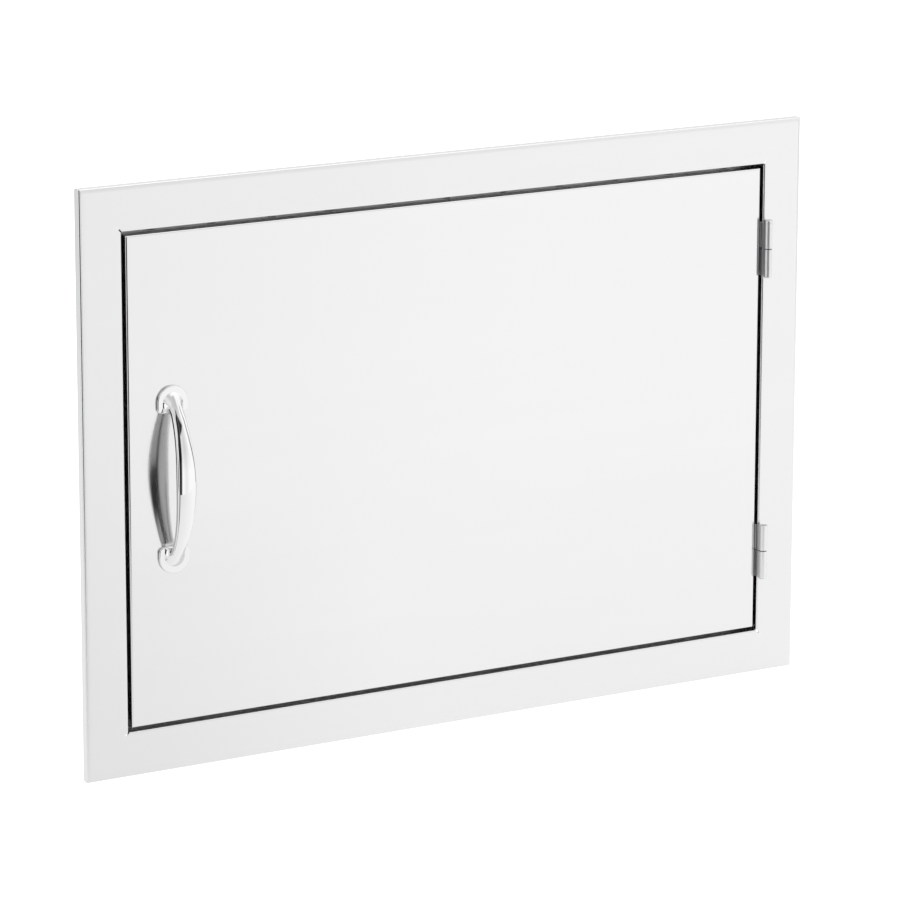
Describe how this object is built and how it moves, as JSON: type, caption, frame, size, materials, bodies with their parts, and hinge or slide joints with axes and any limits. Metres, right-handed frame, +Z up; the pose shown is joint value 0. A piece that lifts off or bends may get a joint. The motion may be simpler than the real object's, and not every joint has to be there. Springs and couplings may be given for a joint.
{
  "type": "access door",
  "caption": "Flush access door for an outdoor kitchen island, folded stainless frame with a sleeve, a hinged double-skin door, an arched pull and a magnetic catch.",
  "frame": {"origin": "centre of the wall cut-out, in the plane of the wall's face that the frame's edges rest on", "axes": "+X along the width towards the hinges, +Y into the island, +Z up; the front of the door looks along -Y"},
  "size_m": [0.6984, 0.0794, 0.4952],
  "materials": {
    "panel_steel": "fine grain brushed along the width",
    "inner_steel": "plain rolled sheet",
    "hinge_steel": "brushed along the pin",
    "handle_metal": "polished cast metal",
    "screw_steel": "plain stainless fasteners",
    "plated_steel": "zinc plated",
    "magnet": "sintered magnet, dark grey",
    "catch_plastic": "moulded, light grey",
    "bumper_rubber": "soft black"
  },
  "bodies": {
    "frame": {"face_frame": "panel_steel", "sleeve_left": "inner_steel", "sleeve_right": "inner_steel", "sleeve_top": "inner_steel", "sleeve_bottom": "inner_steel", "stop_left": "inner_steel", "stop_right": "inner_steel", "stop_top": "inner_steel", "stop_bottom": "inner_steel", "door_bumpers": "bumper_rubber", "catch_housing": "catch_plastic", "catch_magnet": "magnet", "catch_pole_plates": "plated_steel", "catch_screws": "screw_steel", "hinge_washers": "hinge_steel", "hinge_frame_screws": "screw_steel", "hinge_upper_frame_leaf": "hinge_steel", "hinge_upper_pin": "hinge_steel", "hinge_upper_frame_backing": "plated_steel", "hinge_lower_frame_leaf": "hinge_steel", "hinge_lower_pin": "hinge_steel", "hinge_lower_frame_backing": "plated_steel"},
    "door": {"door_skin": "panel_steel", "door_liner": "inner_steel", "door_stiffener": "inner_steel", "handle": "handle_metal", "handle_screws": "screw_steel", "handle_washers": "screw_steel", "handle_spacers": "plated_steel", "strike_plate": "plated_steel", "strike_rivets": "screw_steel", "hinge_upper_door_leaf": "hinge_steel", "hinge_lower_door_leaf": "hinge_steel", "hinge_upper_door_backing": "plated_steel", "hinge_lower_door_backing": "plated_steel", "hinge_door_screws": "screw_steel"}
  },
  "joints": [
    {"name": "door_swing", "type": "hinge", "parent": "frame", "child": "door", "pos_m": [0.31315, -0.0135, 0], "axis": [0, 0, 1], "range_deg": [0, 175]}
  ]
}
